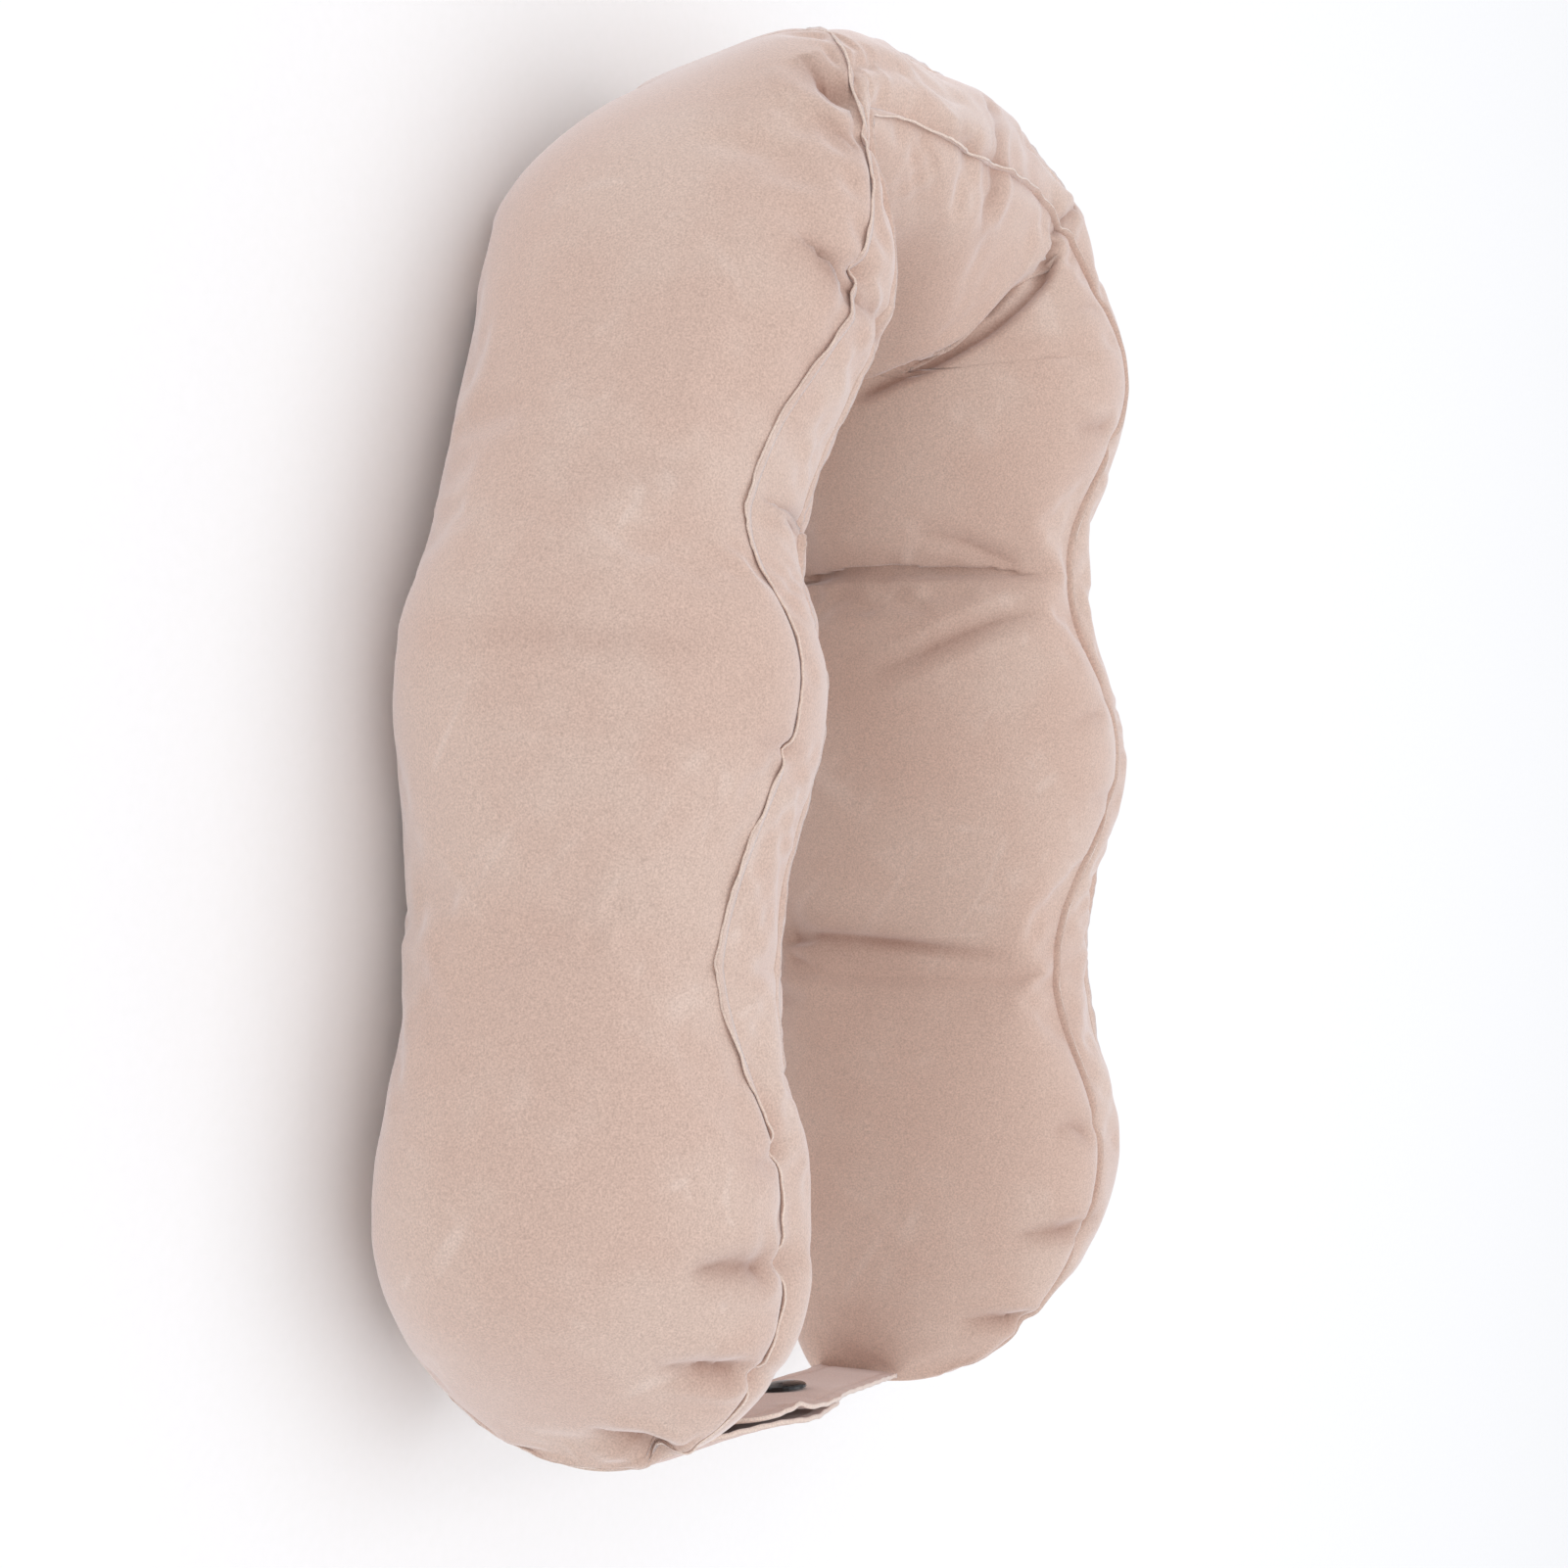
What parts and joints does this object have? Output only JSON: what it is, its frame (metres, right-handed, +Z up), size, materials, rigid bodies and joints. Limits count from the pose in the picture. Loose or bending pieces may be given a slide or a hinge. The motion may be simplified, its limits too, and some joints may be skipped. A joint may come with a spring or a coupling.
{
  "type": "inflatable travel pillow",
  "caption": "U-shaped inflatable neck pillow of flocked vinyl with wavy lobes and welded edges, closed at its open end by two tabs and a press stud.",
  "frame": {"origin": "middle of the footprint, on the surface that the pillow lies on", "axes": "+X towards the open end with the tabs, +Z up out of the surface, -Y towards the arm whose tab lies outside"},
  "size_m": [0.3746, 0.282, 0.1078],
  "materials": {
    "flocked_vinyl": "matt flock",
    "black_acetal": "glossy"
  },
  "bodies": {
    "root": {"bag": "flocked_vinyl", "tab_inner": "flocked_vinyl", "tab_outer": "flocked_vinyl", "snap_cap_inner": "black_acetal", "snap_cap_outer": "black_acetal", "snap_socket": "black_acetal", "snap_stud": "black_acetal"}
  },
  "joints": []
}
